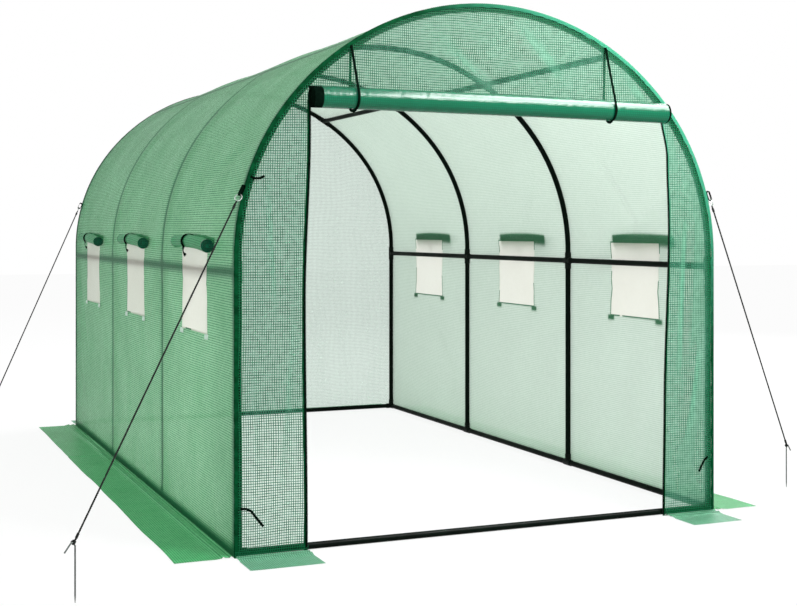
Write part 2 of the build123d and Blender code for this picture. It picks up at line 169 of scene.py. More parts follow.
# Solid surface with a grainy or ribbed bump and a drifting tone, for plastics, tapes, cord and metal
def solidFinish(name, look):
    material, tree = newMaterial(name)
    place = addNode(tree, "ShaderNodeTexCoord").outputs["Object"]
    patches = addNode(tree, "ShaderNodeTexNoise", {
        "Vector": place, "Scale": 1 / (look["driftSize"] * mm), "Detail": 4, "Roughness": 0.6}).outputs["Fac"]
    tone = addNode(tree, "ShaderNodeMapRange", {
        "Value": patches, "From Min": toneBand[0], "From Max": toneBand[1]})
    first, second = [toLinear(colour) for colour in look["colours"]]
    colour = addNode(tree, "ShaderNodeMix", {0: tone.outputs[0], 6: first, 7: second}, data_type="RGBA")
    if "paintedLight" in look:  # painted light: paler on the upper right, painted as lit from the right and behind; x + z from and to, in metres
        litFrom, litTo, pale = look["paintedLight"]
        towardLight = addNode(tree, "ShaderNodeVectorMath", {0: place, 1: (1, 0, 1)}, operation="DOT_PRODUCT")
        paintedLitShare = addNode(tree, "ShaderNodeMapRange", {
            "Value": towardLight.outputs["Value"], "From Min": litFrom, "From Max": litTo},
            interpolation_type="SMOOTHSTEP")
        colour = addNode(tree, "ShaderNodeMix", {
            0: paintedLitShare.outputs[0], 6: colour.outputs[2], 7: toLinear(pale)}, data_type="RGBA")
    rough = addNode(tree, "ShaderNodeMapRange", {
        "Value": patches, "From Min": roughBand[0], "From Max": roughBand[1],
        "To Min": look["roughness"][0], "To Max": look["roughness"][1]})
    height = addNode(tree, "ShaderNodeTexNoise", {
        "Vector": place, "Scale": 1 / (look["grainSize"] * mm), "Detail": 2}).outputs["Fac"]
    if "ribSize" in look:  # crossing ribs of a woven tape; a wave repeats at pi / 10 over its scale
        inputs = {"Vector": place, "Scale": math.pi / 10 / (look["ribSize"] * mm), "Distortion": 0.4}
        ribs = [addNode(tree, "ShaderNodeTexWave", inputs, bands_direction=way).outputs["Fac"]
                for way in ("DIAGONAL", "Z")]
        height = addNode(tree, "ShaderNodeMath", {0: ribs[0], 1: ribs[1]}, operation="MULTIPLY").outputs[0]
    bump = addNode(tree, "ShaderNodeBump", {
        "Height": height, "Strength": look["bump"], "Distance": look["bumpDepth"] * mm})
    shader = addNode(tree, "ShaderNodeBsdfPrincipled", {
        "Base Color": colour.outputs[2], "Roughness": rough.outputs[0], "Normal": bump.outputs[0],
        **look.get("sockets", {})})
    addNode(tree, "ShaderNodeOutputMaterial", {"Surface": shader.outputs[0]})
    return material


# Sizes in mm; body and glow give the tone of the open film, its cloudy patches and the threads
filmLook = {
    "threadPitch": (8.3, 9.1), "threadWidth": 3.1, "threadBlur": 0.8, "threadBump": 0.35, "threadDepth": 0.4,
    # the inner face is painted paler and its threads fainter: painted light, a painted glow of light from
    # outside
    "innerGrid": 0.38, "fadeSize": 25, "fadeBand": (0.35, 0.6), "fadeShare": 0.85,
    "cloudSize": 260, "cloudBand": (0.3, 0.7), "crinkleSize": 30, "crinkle": 0.45, "crinkleDepth": 2,
    "body": ("#6acd8d", "#47ac6c", "#125c39"), "glow": ("#d6f5d8", "#bfe9c5", "#2d9052"),
    "paintedGlowMilk": "#e4e6e5", "paintedGlowMilkShare": 0.8, "tint": "#eaf5ee", "roughness": 0.4, "shine": 0.12,
    "glowShare": 0.38, "clearShare": 0.85, "threadClear": 0.04, "slantBand": (0.05, 0.45), "slantClear": 0.12,
    # painted shade: the film is painted darker where a tube or a roll lies close behind it
    "paintedShadeTone": "#0c6a40", "paintedShadeReach": 20, "paintedShadeBand": (1, 0.3), "paintedShadeShare": 0.9,
}
# For sheets that get neither the painted glow on their inner face nor painted shade where a tube lies behind
# them
plainBack = {"innerGrid": 1, "paintedGlowMilkShare": 0, "paintedShadeShare": 0}
# Extruded polyethylene laminated on both faces of a woven tape grid: leaf green, milky, half see-through
coverFilm = wovenFilm("polyethyleneFilm.laminated", filmLook)
# The end panels are cut from another roll: a colder green and clearer, with finer, darker threads
endFilm = wovenFilm("polyethyleneFilm.endPanels", {
    **filmLook, "body": ("#78d2ad", "#66c69b", "#053c2b"), "glow": ("#cdf5e3", "#bdecd6", "#1c7c57"),
    # their inner face is painted paler too: painted light
    "paintedGlowMilk": "#bcc4be", "tint": "#e2ede6", "threadWidth": 2.8, "threadBlur": 0.6, "clearShare": 0.92,
    "threadClear": 0.02})
# The same film flat on the ground: nothing behind it but the floor, so its green is full and closed
skirtFilm = wovenFilm("polyethyleneFilm.skirt", {
    **filmLook, **plainBack, "body": ("#64cc86", "#50b872", "#177a41"), "threadWidth": 3.3,
    "clearShare": 0.25, "glowShare": 0.1, "shine": 0.06})
# Skirts of the end panels: their colder film, flat on the ground
endSkirtFilm = wovenFilm("polyethyleneFilm.endSkirt", {
    **filmLook, **plainBack, "body": ("#86c3a3", "#74b491", "#2c7452"), "clearShare": 0.4, "glowShare": 0.1,
    "shine": 0.06})
# Wound tight in many layers: deep bottle green, no light comes through, a clean gloss on the outer turn
doorRollFilm = wovenFilm("polyethyleneFilm.woundTight", {
    **filmLook, **plainBack, "body": ("#056044", "#04563b", "#045238"), "glowShare": 0, "clearShare": 0,
    "threadClear": 0, "roughness": 0.2, "shine": 0.22, "crinkle": 1.0, "crinkleSize": 20})
# Wound loosely in few layers: mid green, dull
windowRollFilm = wovenFilm("polyethyleneFilm.woundLoose", {
    **filmLook, **plainBack, "body": ("#42ab70", "#2f9a5e", "#136b3d"), "glowShare": 0.1, "clearShare": 0,
    "threadClear": 0, "shine": 0.06, "crinkle": 0.4})
# Monofilament insect net, woven: a pale veil; its 1.5 mm meshes are drawn as 4 mm so that they show
netVeil = wovenFilm("polyesterNet.woven", {
    **filmLook, **plainBack, "threadPitch": (4.0, 4.0), "threadWidth": 1.6, "fadeShare": 0.9, "crinkle": 0.1,
    "body": ("#e0e0d6", "#d8d6ca", "#c6c3b6"), "glow": ("#f7f7f3", "#f1f1eb", "#e6e5dd"), "tint": "#ffffff",
    "roughness": 0.6, "glowShare": 0.5, "clearShare": 0.6, "threadClear": 0.35})
# Folded strip of dense woven polyethylene: dark green, dull, with a ribbed weave drawn at 3 mm; painted paler
# on the upper right as painted light
bindingTape = solidFinish("polyethyleneTape.woven", {
    "colours": ("#044425", "#022d16"), "driftSize": 25, "roughness": (0.5, 0.65), "grainSize": 2,
    "ribSize": 3, "bump": 0.4, "bumpDepth": 0.4, "paintedLight": (1.6, 2.5, "#3a8a6c"),
    "sockets": {"Specular IOR Level": 0.01}})
# Woven polyester webbing and zip tape: near black, matt, ribbed
blackTape = solidFinish("polyesterTape.woven", {
    "colours": ("#07150e", "#040d08"), "driftSize": 30, "roughness": (0.7, 0.9), "grainSize": 1, "ribSize": 2,
    "bump": 0.6, "bumpDepth": 0.4, "sockets": {"Specular IOR Level": 0.0}})
# Powder-coated steel tube: black with a green cast, satin, faint orange peel drawn at 4 mm
tubeCoat = solidFinish("steelTube.powderCoated", {
    "colours": ("#040e08", "#020804"), "driftSize": 120, "roughness": (0.34, 0.5), "grainSize": 4,
    "bump": 0.12, "bumpDepth": 0.3, "sockets": {"IOR": 1.5, "Specular IOR Level": 0.03}})
# Injection-moulded polypropylene: black, a little greyer than the tube, fine spark grain
fittingPlastic = solidFinish("polypropylene.moulded", {
    "colours": ("#07110b", "#040a06"), "driftSize": 40, "roughness": (0.45, 0.6), "grainSize": 1.5,
    "bump": 0.3, "bumpDepth": 0.15, "sockets": {"IOR": 1.49, "Specular IOR Level": 0.08}})
# Laid polypropylene cord: charcoal, dry; the strands themselves are modelled
cordFibre = solidFinish("polypropyleneCord.laid", {
    "colours": ("#141a17", "#0a0e0c"), "driftSize": 12, "roughness": (0.75, 0.9), "grainSize": 0.8,
    "bump": 0.5, "bumpDepth": 0.3, "sockets": {"Specular IOR Level": 0.2}})
# Milky moulded nylon: pale, a bit of light goes through it
ringPlastic = solidFinish("nylon.moulded", {
    "colours": ("#dfe6e2", "#cfd8d3"), "driftSize": 20, "roughness": (0.2, 0.3), "grainSize": 2, "bump": 0.05,
    "bumpDepth": 0.1, "sockets": {"IOR": 1.53, "Transmission Weight": 0.75}})
# Drawn zinc-plated steel wire: dark grey metal with dull patches
pegWire = solidFinish("steelWire.zincPlated", {
    "colours": ("#5d6361", "#3f4543"), "driftSize": 14, "roughness": (0.32, 0.55), "grainSize": 1.2,
    "bump": 0.2, "bumpDepth": 0.1, "sockets": {"Metallic": 1.0}})
# Hook-and-loop tape, woven nylon: pale green, fuzzy
hookTape = solidFinish("nylonHookTape.woven", {
    "colours": ("#d3e6da", "#b4d0c0"), "driftSize": 8, "roughness": (0.85, 0.95), "grainSize": 1.2,
    "bump": 0.9, "bumpDepth": 0.8})
print("materials made:", len(bpy.data.materials))


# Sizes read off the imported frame, in metres
def middleOf(node):
    low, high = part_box(node)
    return (low + high) / 2


hoopLines = [middleOf(name).y for name in ("front_hoop", "second_hoop", "third_hoop", "back_hoop")]
bayMiddles = [(a + b) / 2 for a, b in zip(hoopLines, hoopLines[1:])]
tubeRadius = (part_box("left_purlins")[1].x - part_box("left_purlins")[0].x) / 2
halfSpan, railHeight = middleOf("right_side_rails").x, middleOf("right_side_rails").z
purlinReach, purlinHeight = middleOf("right_purlins").x, middleOf("right_purlins").z
baseHeight = middleOf("right_base_rails").z
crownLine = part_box("front_hoop")[1].z - tubeRadius
frontFace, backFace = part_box("front_gable_panel")[0].y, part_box("back_panel")[1].y
doorLeft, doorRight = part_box("front_left_panel")[1].x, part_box("front_right_panel")[0].x
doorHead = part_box("front_gable_panel")[0].z
filmHalf = 1 * mm  # half the film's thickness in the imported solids
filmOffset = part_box("right_wall_cover")[1].x - halfSpan - filmHalf  # out from the tubes' centre line
wallReach = halfSpan + filmOffset

# The hoop's line: straight legs, shoulders of one radius, a flatter crown between them
shoulderRadius = 0.900
crownAngle = math.radians(50)
shoulderCentre = halfSpan - shoulderRadius
crownRadius = (shoulderCentre + shoulderRadius * math.sin(crownAngle)) / math.sin(crownAngle)
crownCentre = crownLine - crownRadius
springHeight = crownCentre + (crownRadius - shoulderRadius) * math.cos(crownAngle)
crownReach = crownRadius + filmOffset  # radii of the film over the crown and the shoulders
shoulderReach = shoulderRadius + filmOffset
crownArc = crownReach * crownAngle
shoulderArc = shoulderReach * (math.pi / 2 - crownAngle)
halfArc = crownArc + shoulderArc + springHeight


# Point of the cover's cross-section at a length along it from the crown, left negative, and its normal
def archAt(along, lift=0.0):
    side = -1 if along < 0 else 1
    away = abs(along)
    centre, radius, turn = (shoulderCentre, springHeight), shoulderRadius, math.pi / 2
    if away < crownArc:
        turn = away / crownReach
        centre, radius = (0, crownCentre), crownRadius
    elif away < crownArc + shoulderArc:
        turn = crownAngle + (away - crownArc) / shoulderReach
    else:
        centre = (shoulderCentre, springHeight - (away - crownArc - shoulderArc))
    out = radius + filmOffset + lift
    spot = Vector((side * (centre[0] + out * math.sin(turn)), 0, centre[1] + out * math.cos(turn)))
    return spot, Vector((side * math.sin(turn), 0, math.cos(turn)))


# Length along the cross-section, from the crown, at which the cover is at a height
def alongAt(height):
    if height < springHeight:
        return crownArc + shoulderArc + springHeight - height
    if height < crownCentre + crownReach * math.cos(crownAngle):
        turn = math.acos((height - springHeight) / shoulderReach)
        return crownArc + (turn - crownAngle) * shoulderReach
    return math.acos((height - crownCentre) / crownReach) * crownReach


# Height of the cover's cross-section over a place across the tunnel
def archOver(x):
    if abs(x) < crownReach * math.sin(crownAngle):
        return crownCentre + math.sqrt(crownReach ** 2 - x * x)
    away = abs(x) - shoulderCentre
    return springHeight + math.sqrt(max(0, shoulderReach ** 2 - away ** 2))


seedStep = 7.31  # apart enough that the fields of two seeds have nothing in common


# Smooth noise from -1 to 1 with waves of a size each way; seed picks a field of its own
def drift(a, b, seed, size=(1, 1)):
    return noise.noise(Vector((a / size[0], b / size[1], seed * seedStep)))


# Bell of height 1 and a half width
def bell(away, halfWidth):
    return math.exp(-(away / halfWidth) ** 2)


# Even steps between stops, which are all kept
def spread(stops, step):
    places = [stops[0]]
    for start, end in zip(stops, stops[1:]):
        count = max(1, round(abs(end - start) / step))
        places += [start + (end - start) * k / count for k in range(1, count + 1)]
    return places


# 0 on each support, 1 midway between two
def spanShare(value, supports):
    for start, end in zip(supports, supports[1:]):
        if start <= value <= end:
            return math.sin(math.pi * (value - start) / (end - start))
    return 0.0


# Makes a piece from points and faces, drops points that no face uses, and lets it ride on the frame
def makePiece(name, points, faces, finishes, uvs=None, faceFinish=None):
    used = sorted({corner for face in faces for corner in face})
    place = {old: new for new, old in enumerate(used)}
    mesh = bpy.data.meshes.new(name)
    mesh.from_pydata([points[k] for k in used], [], [[place[k] for k in face] for face in faces])
    layer = mesh.uv_layers.new(name="UVMap")
    for loop in mesh.loops:
        old = used[loop.vertex_index]
        layer.data[loop.index].uv = uvs[old] if uvs else (points[old][0] + points[old][1], points[old][2])
    for finish in finishes:
        mesh.materials.append(finish)
    mesh.polygons.foreach_set("use_smooth", [True] * len(faces))
    if faceFinish:
        mesh.polygons.foreach_set("material_index", faceFinish)
    mesh.update()
    piece = bpy.data.objects.new(name, mesh)
    bpy.context.scene.collection.objects.link(piece)
    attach(piece, "root")
    return piece


# Faces of a grid of points laid out row by row; flip turns their outer side over
def gridFaces(rows, columns, first=0, keep=None, ring=False, flip=False):
    faces = []
    for r in range(rows - 1):
        for c in range(columns if ring else columns - 1):
            if keep is None or keep(r, c):
                corner, beside = first + r * columns + c, first + r * columns + (c + 1) % columns
                face = (corner, beside, beside + columns, corner + columns)
                faces.append(face[::-1] if flip else face)
    return faces


# Sheet over two lists of places; shape gives a point and its UV
def makeSheet(name, rows, columns, shape, finish, keep=None, flip=False):
    made = [shape(row, column) for row in rows for column in columns]
    faces = gridFaces(len(rows), len(columns), keep=keep, flip=flip)
    return makePiece(name, [point for point, _ in made], faces, [finish], [uv for _, uv in made])


# Round rod along points, appended to shared lists so that many rods can be one piece
def addRod(points, faces, path, radius, sides):
    first, turned = len(points), None
    for k, spot in enumerate(path):
        ahead = (path[min(k + 1, len(path) - 1)] - path[max(k - 1, 0)]).normalized()
        side = turned if turned else ahead.orthogonal()
        side = (side - ahead * side.dot(ahead)).normalized()
        turned, other = side, ahead.cross(side)
        for j in range(sides):
            angle = 2 * math.pi * j / sides
            points.append(spot + (side * math.cos(angle) + other * math.sin(angle)) * radius)
    faces += gridFaces(len(path), sides, first, ring=True)
    faces.append(tuple(range(first + sides - 1, first - 1, -1)))
    faces.append(tuple(range(len(points) - sides, len(points))))


# Flat tape along points, with its own thickness; normals face out of its flat side
def addTape(points, faces, path, normals, width, thickness):
    first = len(points)
    for k, spot in enumerate(path):
        ahead = (path[min(k + 1, len(path) - 1)] - path[max(k - 1, 0)]).normalized()
        across = ahead.cross(normals[k]).normalized() * width / 2
        up = normals[k] * thickness / 2
        points += [spot - across - up, spot + across - up, spot + across + up, spot - across + up]
    faces += gridFaces(len(path), 4, first, ring=True)
    last = len(points) - 4
    faces += [(first + 3, first + 2, first + 1, first), (last, last + 1, last + 2, last + 3)]


# Low beads of thread, each from a start to an end with the normal of the film under it
def addBeads(points, faces, spans, width, height):
    for start, end, normal in spans:
        across = (end - start).cross(normal).normalized() * width / 2
        middle, first = (start + end) / 2, len(points)
        points += [start, middle - across, end, middle + across, middle + normal * height]
        faces += [(first + k, first + (k + 1) % 4, first + 4) for k in range(4)]


# Cover: one film over walls and roof, tight on hoops and rails, slack between them
cover = {"step": 0.024, "crownSag": 0.018, "shoulderSag": 0.013, "wallSag": 0.004,
         "ripple": 0.0035, "rippleSize": (0.30, 0.45), "fineShare": 0.5, "fineSize": (0.12, 0.28),
         "pleat": 0.004, "pleatReach": 0.55, "pleatSize": (0.07, 0.9),
         "threadWave": 0.004, "threadWaveSizes": ((0.25, 0.5), (0.45, 0.22))}
press = {"depth": 3.5 * mm, "reach": 0.016, "fitting": 0.045, "ease": 0.035, "footDepth": 2.4 * mm}
window = {"width": 0.400, "sill": 0.760, "head": 1.090, "lap": 0.006, "pinch": 0.008, "wobble": 0.012,
          "wobbleSize": 0.07}
# Slack folds of the cover: from and to as (y, length from crown), half width, height
coverFolds = [
    ((-1.74, -1.06), (-1.00, -1.27), 0.022, -0.008), ((-1.74, -0.55), (-1.15, -0.80), 0.030, 0.006),
    ((-0.60, -1.45), (-0.95, -1.95), 0.020, 0.005), ((0.55, -1.70), (0.20, -1.25), 0.022, 0.005),
    ((1.70, -1.55), (1.30, -2.20), 0.025, -0.007), ((1.62, -1.90), (1.36, -2.45), 0.018, 0.006),
    ((-1.70, 1.20), (-0.95, 1.50), 0.026, 0.008), ((0.10, 1.40), (0.60, 1.95), 0.022, -0.008),
    ((0.65, 0.40), (1.60, 0.75), 0.030, 0.009), ((-0.45, 0.30), (0.40, 0.62), 0.028, -0.009),
    ((-1.20, 1.46), (-0.98, 1.00), 0.020, -0.008), ((-0.10, 1.46), (-0.45, 1.05), 0.020, 0.009),
]
railAlong, purlinAlong = alongAt(railHeight), alongAt(purlinHeight + filmOffset * purlinReach)
arcSupports = [-halfArc, -railAlong, -purlinAlong, purlinAlong, railAlong, halfArc]
bayEnds = [frontFace, hoopLines[1], hoopLines[2], backFace]
sillAlong, headAlong = alongAt(window["sill"]), alongAt(window["head"])


foldTaper = 0.7  # the lower, the blunter the ends of a fold


# Height of one fold at a place: a bell across it, tapered to both its ends
def foldLift(y, along, start, end, halfWidth, height):
    line = Vector((end[0] - start[0], end[1] - start[1]))
    spot = Vector((y - start[0], along - start[1]))
    share = spot.dot(line) / line.length_squared
    if not 0 < share < 1:
        return 0.0
    return height * bell((spot - line * share).length, halfWidth) * math.sin(math.pi * share) ** foldTaper


# How far the film is drawn down on the inner hoops and on the base rails, clear of the fittings
def pressedIn(y, along):
    away = abs(along)
    gap = min(abs(away - place) for place in (railAlong, purlinAlong, halfArc))
    onHoop = max(bell(y - line, press["reach"]) for line in hoopLines[1:3])
    onHoop *= min(1, max(0, (gap - press["fitting"]) / press["ease"]))
    gap = min(abs(y - line) for line in hoopLines)
    onRail = bell(halfArc - away - baseHeight, press["reach"])
    onRail *= min(1, max(0, (gap - press["fitting"]) / press["ease"]))
    return press["depth"] * onHoop + press["footDepth"] * onRail


# How far the film stands out from its tight line: sag, ripples, pleats at the foot and slack folds
def coverLift(y, along):
    bay, span, away = spanShare(y, bayEnds), spanShare(along, arcSupports), abs(along)
    sag = cover["wallSag"]
    if away < railAlong:
        sag = cover["crownSag"] if away < purlinAlong else cover["shoulderSag"]
    hold = math.sqrt(bay * span)
    lift = -sag * bay * span - pressedIn(y, along)
    fine = cover["fineShare"] * drift(y, along, 5, cover["fineSize"])
    lift += cover["ripple"] * hold * (drift(y, along, 3, cover["rippleSize"]) + fine)
    foot = max(0.0, 1 - (halfArc - away) / cover["pleatReach"])
    lift += cover["pleat"] * foot * bay * span * drift(y, along, 8, cover["pleatSize"])
    return lift + sum(foldLift(y, along, *fold) for fold in coverFolds) * hold


def coverPoint(y, along, lift=0.0):
    spot, out = archAt(along, lift)
    return spot + Vector((0, y, 0)), out


# How far the cut edges of the windows are drawn in, most at half height and unevenly
def pinchedBy(y, along):
    share = (abs(along) - headAlong) / (sillAlong - headAlong)
    if not 0 < share < 1:
        return 0.0
    moved = 0.0
    for middle in bayMiddles:
        for end in (-1, 1):
            edge = middle + end * window["width"] / 2
            uneven = window["pinch"] + window["wobble"] * drift(along / window["wobbleSize"], edge, 17)
            moved -= end * uneven * math.sin(math.pi * share) * bell(y - edge, 2 * cover["step"])
    return moved


def coverShape(along, y):
    y += pinchedBy(y, along)
    wave = cover["threadWave"]
    acrossSize, alongSize = cover["threadWaveSizes"]
    uv = (y + wave * drift(y, along, 11, acrossSize), along + wave * drift(y, along, 13, alongSize))
    return coverPoint(y, along, coverLift(y, along))[0], uv


windowEdges = [middle + side * window["width"] / 2 for middle in bayMiddles for side in (-1, 1)]
hoopEdges = [line + k * press["reach"] / 2 for line in hoopLines[1:3] for k in (-2, -1, 0, 1, 2)]
coverColumns = spread(sorted([frontFace, *windowEdges, *hoopEdges, backFace]), cover["step"])
footEdge = halfArc - 2 * baseHeight
rowStops = [crownArc, headAlong, sillAlong, footEdge, halfArc]
coverRows = spread([-stop for stop in rowStops[::-1]] + rowStops, cover["step"])


# Cells of the cover that are cut out
def isWindow(r, c):
    along = abs(coverRows[r] + coverRows[r + 1]) / 2
    y = (coverColumns[c] + coverColumns[c + 1]) / 2
    inBay = any(abs(y - middle) < window["width"] / 2 for middle in bayMiddles)
    return inBay and headAlong < along < sillAlong


tunnelCover = makeSheet("tunnelCover", coverRows, coverColumns, coverShape, coverFilm,
                        keep=lambda r, c: not isWindow(r, c), flip=True)
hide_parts("left_wall_cover", "left_shoulder_cover", "crown_cover", "right_shoulder_cover",
            "right_wall_cover")
print("cover made")


# End panels: flat film with its threads upright, sewn to the cover along the arch. The doorway's edges bow:
# each pair is a height and how far the edge stands to the right of its straight line there.
panel = {"step": 0.024, "columns": 24, "inset": filmHalf, "wave": 0.007, "waveSize": (0.28, 0.50),
         "flutter": 0.003, "flutterSize": (0.10, 0.30), "threadWave": 0.007,
         "threadWaveSizes": ((0.30, 0.24), (0.16, 0.30)), "hoopShare": 0.80, "hoopFade": 0.25,
         "archTaper": 0.6, "doorHold": 0.6, "footEase": 0.15, "backEase": 12, "backSteps": (1.4, 1.2),
         "frontSeed": 21, "backSeed": 31,
         "leftBow": [(0, -0.005), (0.9, -0.012), (1.5, 0.007), (doorHead, 0.007)],
         "rightBow": [(0, -0.015), (0.47, -0.010), (1.15, 0.011), (1.44, 0.003), (doorHead, -0.027)]}
# Slack folds of the front panel: from and to as (x, z), half width, height
panelFolds = [
    ((-0.875, 1.42), (-0.835, 0.80), 0.016, 0.011), ((-0.800, 0.85), (-0.850, 0.22), 0.018, -0.009),
    ((-0.930, 0.75), (-0.900, 0.25), 0.014, 0.007), ((0.880, 1.20), (0.850, 0.55), 0.016, 0.009),
    ((0.930, 0.70), (0.860, 0.30), 0.018, -0.008), ((-0.240, 1.93), (0.060, 1.66), 0.026, 0.012),
    ((0.600, 1.80), (0.690, 1.67), 0.020, 0.008), ((0.050, 1.96), (0.300, 1.70), 0.030, -0.010),
]


# How far an edge of the doorway bows at a height, eased between the listed ones
def bowAt(bow, height):
    for (low, start), (high, end) in zip(bow, bow[1:]):
        if height <= high:
            share = max(0, (height - low) / (high - low))
            return start + (end - start) * (3 - 2 * share) * share * share
    return bow[-1][1]


# How far a panel's film waves inward, or outward where negative
def panelWave(x, z, seed):
    wide = drift(x, z, seed, panel["waveSize"]) * panel["wave"]
    return wide + drift(x, z, seed + 2, panel["flutterSize"]) * panel["flutter"]


# Place of a point in the panel's thread grid, which lies a little crooked
def panelUv(x, z, seed):
    wave = panel["threadWave"]
    acrossSize, upSize = panel["threadWaveSizes"]
    return x + wave * drift(x, z, seed + 4, acrossSize), z + wave * drift(x, z, seed + 6, upSize)


headShare = 0.9999  # the top of the doorway's left side, where the part across begins


# Outline of the doorway, up the left side, across and down the right, in three parts of 1
def doorEdge(share):
    if share < 1:
        height = doorHead * share
        return Vector((doorLeft + bowAt(panel["leftBow"], height), height))
    if share < 2:
        return doorEdge(headShare).lerp(doorEdge(2), share - 1)
    height = doorHead * (3 - share)
    return Vector((doorRight + bowAt(panel["rightBow"], height), height))


# Outline of the arch in the same three parts
def archEdge(share):
    if share < 1:
        along = -alongAt(doorHead * share)
    elif share < 2:
        along = alongAt(doorHead) * (2 * share - 3)
    else:
        along = alongAt(doorHead * (3 - share))
    spot, _ = archAt(along)
    return Vector((spot.x, spot.z))


def frontShape(share, across):
    spot = doorEdge(share).lerp(archEdge(share), across)
    loose = 1.0 - panel["doorHold"] * (1 - 2 * across) ** 2  # partly held at the doorway, fast at the arch
    if across > 0.5:
        loose = math.sin(math.pi * across) ** panel["archTaper"]
    wave = panelWave(spot.x, spot.y, panel["frontSeed"])
    wave += sum(foldLift(spot.x, spot.y, *fold) for fold in panelFolds)
    if wave > 0:  # the hoop and its fittings keep the film from sinking inward beside the arch
        wave *= min(1, max(0, (panel["hoopShare"] - across) / panel["hoopFade"]))
    y = frontFace + panel["inset"] + wave * loose * min(1, spot.y / panel["footEase"])
    return Vector((spot.x, y, spot.y)), panelUv(spot.x, spot.y, panel["frontSeed"])


sideShares = spread([0, 1], panel["step"] / doorHead)
headShares = spread([1, 2], panel["step"] / (doorRight - doorLeft))
frontShares = sideShares + headShares[1:] + [2 + share for share in sideShares[1:]]
frontAcross = [k / panel["columns"] for k in range(panel["columns"] + 1)]
frontPanel = makeSheet("frontPanel", frontShares, frontAcross, frontShape, endFilm, flip=True)
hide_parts("front_left_panel", "front_right_panel", "front_gable_panel")


def backShape(turn, height):
    x = wallReach * math.sin(turn)
    z = archOver(x) * height
    edge = min(1, (1 - height) * panel["backEase"], height * panel["backEase"]) * math.cos(turn)
    y = backFace - panel["inset"] + panelWave(x, z, panel["backSeed"]) * edge
    return Vector((x, y, z)), panelUv(x, z, panel["backSeed"])


backTurns = spread([-math.pi / 2, math.pi / 2], panel["step"] / wallReach * panel["backSteps"][0])
backHeights = spread([0, 1], panel["step"] / crownLine * panel["backSteps"][1])
backPanel = makeSheet("backPanel", backTurns, backHeights, backShape, endFilm)
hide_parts("back_panel")
print("end panels made")


# Skirts: film that lies on the ground outside the walls in low waves, creased where it leaves the wall
skirt = {"step": 0.020, "seat": 1.2 * mm, "rise": 0.009, "riseSize": (0.35, 0.25), "flat": 0.05,
         "fineShare": 0.35, "fineSize": (0.09, 0.30), "heldShare": 0.25, "freeing": 1.2,
         "edgeDrift": 0.006, "edgeSize": 0.5, "edgeReach": 0.2,
         "crease": 0.008, "creaseWidth": 0.006, "creasePlaces": (0.014, 0.042), "wander": 0.008,
         "wanderSize": 0.6, "seamRise": 0.003, "seamWidth": 0.012, "seamBend": 0.3}
# Name, node, way along the wall and out from it, and where along it a seam crosses
skirtRuns = [
    ("skirtLeft", "left_ground_flap", (0, 1, 0), (-1, 0, 0), 2.38),
    ("skirtRight", "right_ground_flap", (0, 1, 0), (1, 0, 0), 2.38),
    ("skirtBack", "back_ground_flap", (1, 0, 0), (0, 1, 0), None),
    ("skirtFrontLeft", "front_ground_flaps", (1, 0, 0), (0, -1, 0), None),
    ("skirtFrontRight", "front_ground_flaps", (1, 0, 0), (0, -1, 0), None),
]


def skirtShape(corner, along, outward, seed, seam):
    def shape(share, run):
        free = min(1.0, skirt["heldShare"] + share * skirt["freeing"])
        lift = skirt["rise"] * free * max(0.0, drift(run, share, seed, skirt["riseSize"]) - skirt["flat"])
        fine = max(0.0, drift(run, share, seed + 3, skirt["fineSize"]))
        lift += skirt["fineShare"] * skirt["rise"] * fine * free
        for place in skirt["creasePlaces"]:
            wander = place + skirt["wander"] * drift(run / skirt["wanderSize"], place, seed + 7)
            lift += skirt["crease"] * bell(share - wander, skirt["creaseWidth"])
        if seam:
            fromSeam = run - seam - skirt["seamBend"] * share * share
            lift += skirt["seamRise"] * bell(fromSeam, skirt["seamWidth"])
        loose = skirt["edgeDrift"] * drift(run / skirt["edgeSize"], 0, seed + 5)
        spot = corner + along * run
        spot += outward * (share + loose * share / skirt["edgeReach"])
        return Vector((spot.x, spot.y, skirt["seat"] + lift)), (run, share)
    return shape


for number, (name, node, along, outward, seam) in enumerate(skirtRuns):
    along, outward = Vector(along), Vector(outward)
    low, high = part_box(node)
    if name == "skirtFrontLeft":
        high.x = doorLeft
    if name == "skirtFrontRight":
        low.x = doorRight
    run, reach = (high - low).dot(along), abs((high - low).dot(outward))
    corner = Vector((high.x if outward.x < 0 else low.x, high.y if outward.y < 0 else low.y, 0))
    edges = [0, *(k + side * skirt["creaseWidth"] for k in skirt["creasePlaces"] for side in (-1, 0, 1))]
    made = makeSheet(name, spread([*edges, reach - skirt["edgeDrift"]], skirt["step"]),
                     spread([0, run], skirt["step"]),
                     skirtShape(corner, along, outward, 41 + 10 * number, seam),
                     skirtFilm if outward.x else endSkirtFilm,
                     flip=outward.x > 0 or outward.y < 0)
    if name != "skirtFrontRight":
        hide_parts(node)
print("skirts made")


# Bindings: folded tape over the sewn edges of the arch, drawn up in small puckers by its stitching,
# with thread ends that stick out along the cover
binding = {"coverSide": 0.007, "panelSide": 0.013, "stand": 1.6 * mm, "step": 0.011, "uvStep": 6 * mm,
           "pucker": 1.8 * mm, "puckerSize": 0.022, "puckerColumn": 0.3, "coverPull": 0.8, "panelPull": 1.5}
stitch = {"pitch": 0.0085, "share": 0.66, "width": 1.3 * mm, "height": 0.7 * mm, "inShare": 0.55,
          "coverStand": 1.35, "panelStand": 1.4, "endGap": 0.05,
          "fray": 0.007, "frayMean": 0.6, "fraySize": 0.02, "frayLeast": 0.2}
stitchPoints, stitchFaces, frayPoints, frayFaces = [], [], [], []


# Row of stitches along a path
def sewLine(path, normals):
    spans = []
    for k in range(len(path) - 1):
        edge = (1 - stitch["share"]) / 2
        spans.append((path[k].lerp(path[k + 1], edge), path[k + 1].lerp(path[k], edge), normals[k]))
    addBeads(stitchPoints, stitchFaces, spans, stitch["width"], stitch["height"])


